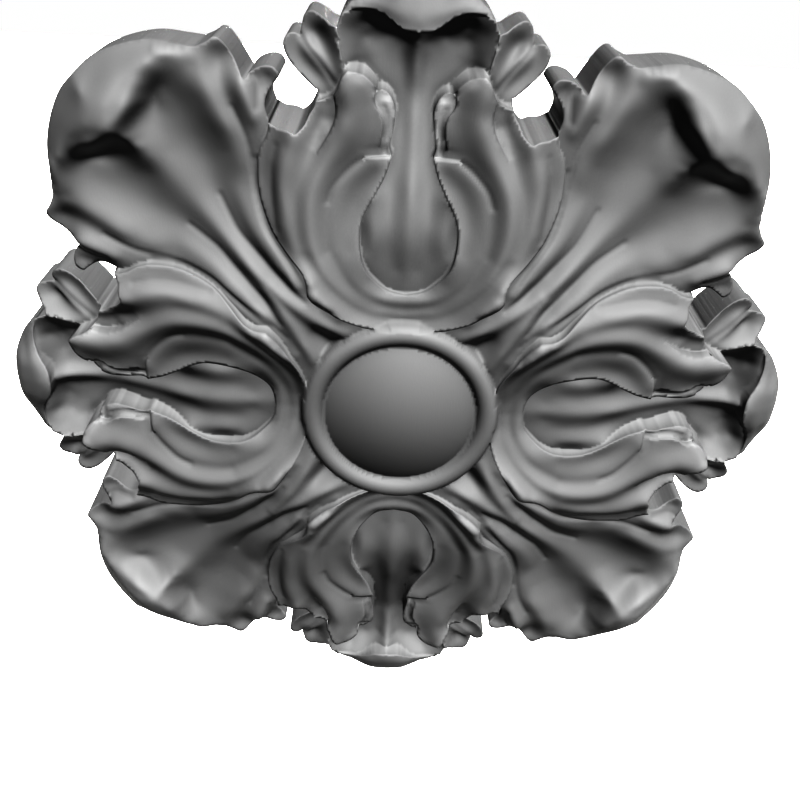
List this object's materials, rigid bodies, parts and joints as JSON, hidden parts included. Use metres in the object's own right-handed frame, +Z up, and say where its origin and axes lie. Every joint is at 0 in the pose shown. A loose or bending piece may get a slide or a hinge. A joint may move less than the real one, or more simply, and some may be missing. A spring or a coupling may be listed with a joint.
{
  "type": "carved rosette",
  "caption": "Carved wooden rosette of acanthus leaves round a ringed domed boss, flat-backed, for fixing to furniture, panelling or a door.",
  "frame": {"origin": "centre of the flat back, where the rosette meets the surface it is fixed to", "axes": "+Y into the surface behind, -Y out of the carved face, +Z up along a side leaf, +X to the viewer's right"},
  "size_m": [0.2164, 0.0366, 0.2164],
  "materials": {
    "carved_wood": "satin dark grey stain"
  },
  "bodies": {
    "root": {"carved_rosette": "carved_wood"}
  },
  "joints": []
}
